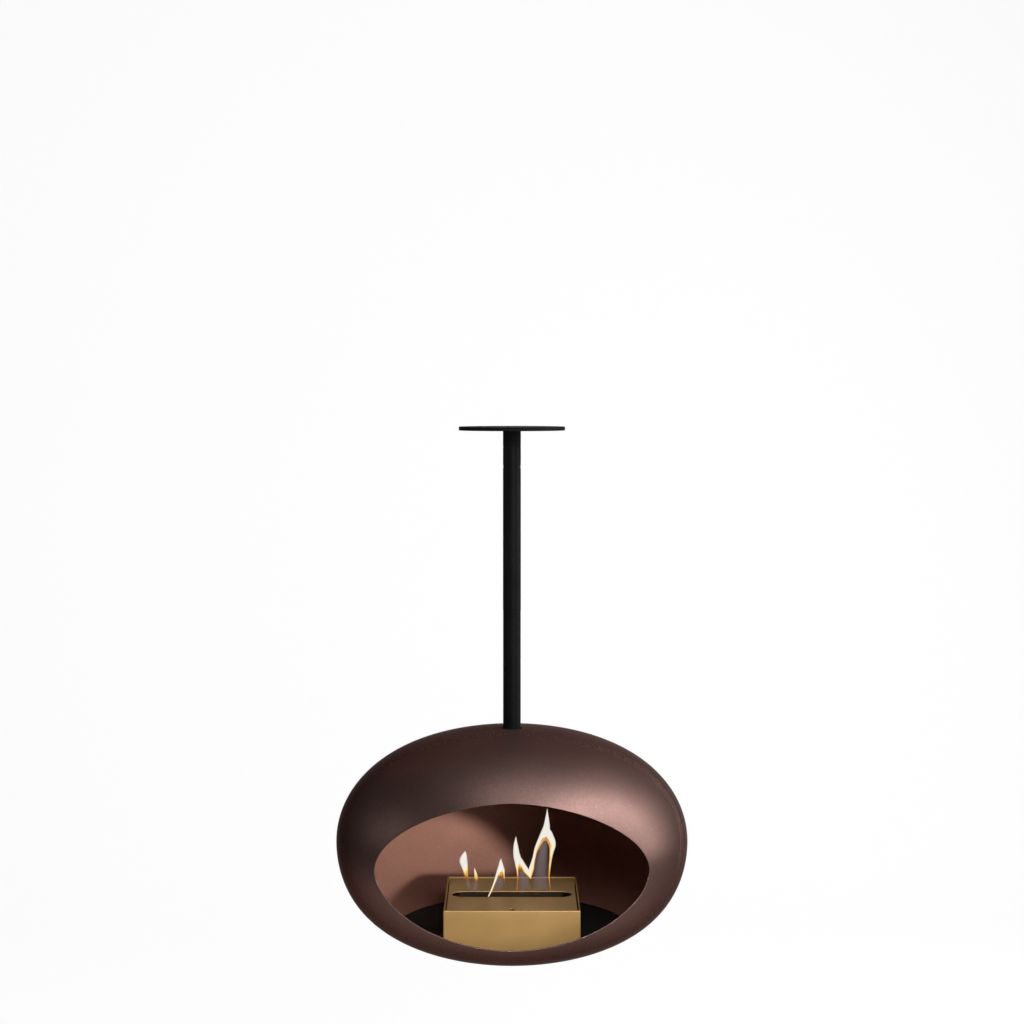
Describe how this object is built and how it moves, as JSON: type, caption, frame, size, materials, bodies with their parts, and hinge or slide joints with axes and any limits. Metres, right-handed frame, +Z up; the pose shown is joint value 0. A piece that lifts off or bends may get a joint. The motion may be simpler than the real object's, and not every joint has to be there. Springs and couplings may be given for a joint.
{
  "type": "hanging fireplace",
  "caption": "Hanging fireplace: flattened steel dome with a wide oval opening on a ceiling pole, with a square liquid-fuel burner inside.",
  "frame": {"origin": "centre of the ceiling plate's top face, where it meets the ceiling", "axes": "+Z up along the pole, -Y out of the dome's opening, +X to the right seen from the front"},
  "size_m": [0.74, 0.6773, 1.112],
  "materials": {
    "ceiling_black": "matte black powder coat",
    "pole_black": "satin black powder coat",
    "dome_mocha": "satin metallic dark copper brown",
    "floor_black": "matte black heat-proof paint",
    "hub_black": "matte black heat-proof paint",
    "burner_brass": "satin brass-coloured sheet",
    "cover_brass": "satin brass-coloured sheet",
    "tank_steel": "brushed, heat tinted",
    "grid_steel": "dull heat-tinted perforated sheet",
    "rail_steel": "brushed",
    "fastener_steel": "zinc plated",
    "bearing_steel": "ground and polished",
    "cage_brass": "machined",
    "seal_rubber": "matte silicone",
    "ceramic_wool": "soft white ceramic fibre"
  },
  "bodies": {
    "ceiling": {"ceiling_plate": "ceiling_black", "swivel_housing": "ceiling_black", "housing_grub_screw_1": "fastener_steel", "housing_grub_screw_2": "fastener_steel", "bearing_lower_washer": "bearing_steel", "bearing_cage": "cage_brass", "bearing_ball_1": "bearing_steel", "bearing_ball_2": "bearing_steel", "bearing_ball_3": "bearing_steel", "bearing_ball_4": "bearing_steel", "bearing_ball_5": "bearing_steel", "bearing_ball_6": "bearing_steel", "bearing_ball_7": "bearing_steel", "bearing_ball_8": "bearing_steel"},
    "hanger": {"bearing_upper_washer": "bearing_steel", "swivel_bolt": "fastener_steel", "pole_top_plug": "fastener_steel", "plug_cross_pin": "fastener_steel", "pole_upper": "pole_black", "pole_joiner": "fastener_steel", "pole_lower": "pole_black", "pole_end_cap": "seal_rubber", "dome_shell": "dome_mocha", "pole_seal": "seal_rubber", "dome_hub": "hub_black", "pole_cross_bolt": "fastener_steel", "pole_cross_nut": "fastener_steel", "dome_stud_1": "fastener_steel", "dome_stud_2": "fastener_steel", "dome_stud_3": "fastener_steel", "dome_stud_4": "fastener_steel", "stud_nut_1": "fastener_steel", "stud_nut_2": "fastener_steel", "stud_nut_3": "fastener_steel", "stud_nut_4": "fastener_steel", "floor_plate": "floor_black", "floor_bracket_1": "dome_mocha", "floor_bracket_2": "dome_mocha", "floor_bracket_3": "dome_mocha", "floor_screw_1": "floor_black", "floor_screw_2": "floor_black", "floor_screw_3": "floor_black", "burner_casing": "burner_brass", "casing_rail_left": "rail_steel", "casing_rail_right": "rail_steel", "casing_screw_1": "fastener_steel", "casing_screw_2": "fastener_steel", "casing_screw_3": "fastener_steel", "casing_screw_4": "fastener_steel", "casing_nut_1": "fastener_steel", "casing_nut_2": "fastener_steel", "casing_nut_3": "fastener_steel", "casing_nut_4": "fastener_steel"},
    "tank": {"fuel_tank": "tank_steel", "ceramic_wool": "ceramic_wool", "flame_grid": "grid_steel"},
    "cover": {"burner_cover": "cover_brass"}
  },
  "joints": [
    {"name": "swivel", "type": "hinge", "parent": "ceiling", "child": "hanger", "pos_m": [0, 0, -0.042], "axis": [0, 0, 1], "continuous": true},
    {"name": "tank_lift", "type": "slide", "parent": "hanger", "child": "tank", "axis": [0, 0, 1], "range_m": [0, 0.075]},
    {"name": "cover_lift", "type": "slide", "parent": "tank", "child": "cover", "axis": [0, 0, 1], "range_m": [0, 0.04]}
  ]
}
